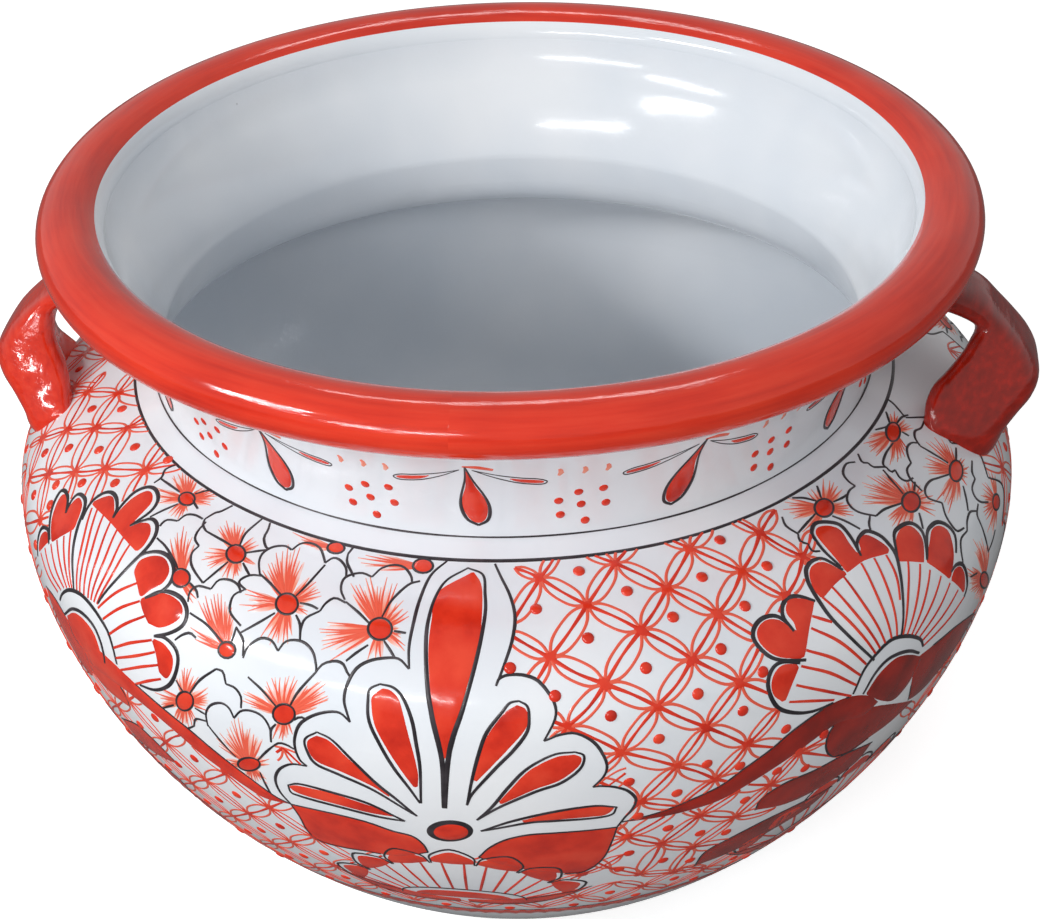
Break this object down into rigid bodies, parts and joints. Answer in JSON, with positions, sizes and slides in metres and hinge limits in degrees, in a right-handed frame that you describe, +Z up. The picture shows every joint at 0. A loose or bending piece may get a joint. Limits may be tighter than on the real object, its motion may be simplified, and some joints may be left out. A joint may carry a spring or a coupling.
{
  "type": "ceramic planter",
  "caption": "Wide glazed ceramic planter: round belly, flared neck, thick rolled rim, two strap handles, foot ring and a drained floor.",
  "frame": {"origin": "middle of the base, on the surface the pot stands on", "axes": "+X through the two handles, +Z up, out of the mouth"},
  "size_m": [0.5012, 0.486, 0.3601],
  "materials": {
    "white_glaze": "glossy",
    "red_glaze": "glossy",
    "charcoal_line": "satin",
    "bare_clay": "matte"
  },
  "bodies": {
    "root": {"foot_ring": "bare_clay", "base_floor": "white_glaze", "lower_bowl": "white_glaze", "shoulder": "white_glaze", "neck_collar": "white_glaze", "rim_roll": "red_glaze", "handle_right": "red_glaze", "handle_left": "red_glaze"}
  },
  "joints": []
}
